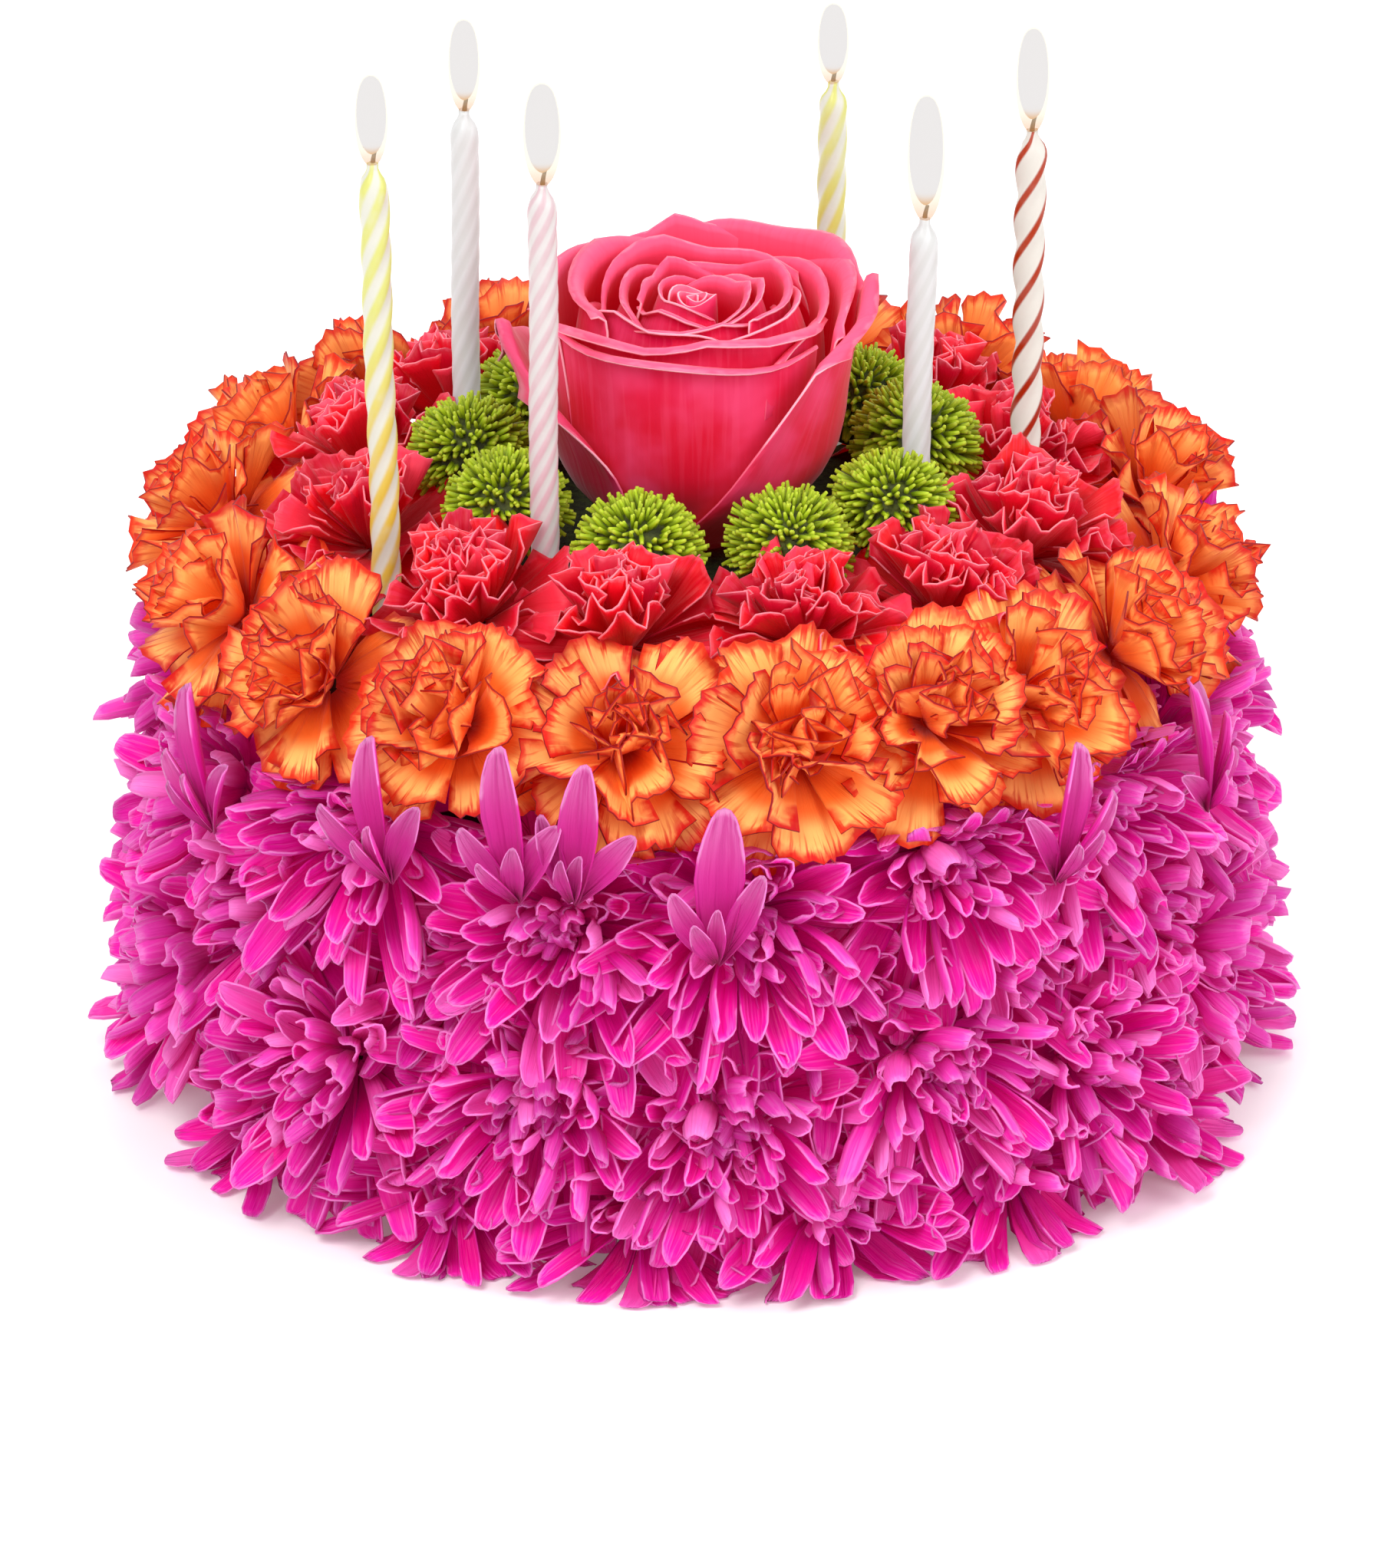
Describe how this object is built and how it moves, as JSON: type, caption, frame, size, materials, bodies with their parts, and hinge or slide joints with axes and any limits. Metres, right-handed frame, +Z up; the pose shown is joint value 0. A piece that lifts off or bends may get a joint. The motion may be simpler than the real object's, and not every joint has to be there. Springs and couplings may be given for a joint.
{
  "type": "cake-shaped flower arrangement with lit birthday candles",
  "caption": "Round cake built of fresh flowers, with pink mums round its side and carnations, green poms and a rose on top, and lit twisted birthday candles standing in it",
  "frame": {"origin": "middle of the flat base", "axes": "+Z up through the rose, -Y towards the front"},
  "size_m": [0.2118, 0.2122, 0.203],
  "materials": {
    "foam": "soaked green floral foam, rough and matt",
    "mum_petal": "magenta petals with paler lilac rims, soft satin",
    "orange_petal": "yellow-orange ruffled petals edged and streaked with red, matt",
    "pink_petal": "crimson pink ruffled petals with paler toothed edges, matt",
    "pom_floret": "lime green tubular florets, matt",
    "rose_petal": "hot pink velvety petals with paler rolled lips, soft satin",
    "yellow_wax": "wax with yellow and white twisted ribs, soft gloss",
    "white_wax": "pearly white wax with faint twisted ribs, soft gloss",
    "pink_wax": "wax with fine pale pink and white twisted ribs, soft gloss",
    "red_wax": "white wax with thin red twisted stripes, soft gloss",
    "flame": "pale cream candle flame, warmer at its foot"
  },
  "bodies": {
    "root": {"core": "foam", "mum_spray_1": "mum_petal", "mum_spray_2": "mum_petal", "mum_spray_3": "mum_petal", "mum_spray_4": "mum_petal", "mum_spray_5": "mum_petal", "mum_spray_6": "mum_petal", "mum_spray_7": "mum_petal", "orange_carnation_01": "orange_petal", "orange_carnation_02": "orange_petal", "orange_carnation_03": "orange_petal", "orange_carnation_04": "orange_petal", "orange_carnation_05": "orange_petal", "orange_carnation_06": "orange_petal", "orange_carnation_07": "orange_petal", "orange_carnation_08": "orange_petal", "orange_carnation_09": "orange_petal", "orange_carnation_10": "orange_petal", "orange_carnation_11": "orange_petal", "orange_carnation_12": "orange_petal", "orange_carnation_13": "orange_petal", "orange_carnation_14": "orange_petal", "orange_carnation_15": "orange_petal", "orange_carnation_16": "orange_petal", "orange_carnation_17": "orange_petal", "orange_carnation_18": "orange_petal", "pink_carnation_01": "pink_petal", "pink_carnation_02": "pink_petal", "pink_carnation_03": "pink_petal", "pink_carnation_04": "pink_petal", "pink_carnation_05": "pink_petal", "pink_carnation_06": "pink_petal", "pink_carnation_07": "pink_petal", "pink_carnation_08": "pink_petal", "pink_carnation_09": "pink_petal", "pink_carnation_10": "pink_petal", "pink_carnation_11": "pink_petal", "pink_carnation_12": "pink_petal", "pom_1": "pom_floret", "pom_2": "pom_floret", "pom_3": "pom_floret", "pom_4": "pom_floret", "pom_5": "pom_floret", "pom_6": "pom_floret", "pom_7": "pom_floret", "pom_8": "pom_floret", "pom_9": "pom_floret", "rose": "rose_petal", "candle_yellow_left": "yellow_wax", "candle_white_left": "white_wax", "candle_pink_left": "pink_wax", "candle_yellow_right": "yellow_wax", "candle_white_right": "white_wax", "candle_red_right": "red_wax", "flame_yellow_left": "flame", "flame_white_left": "flame", "flame_pink_left": "flame", "flame_yellow_right": "flame", "flame_white_right": "flame", "flame_red_right": "flame"}
  },
  "joints": []
}
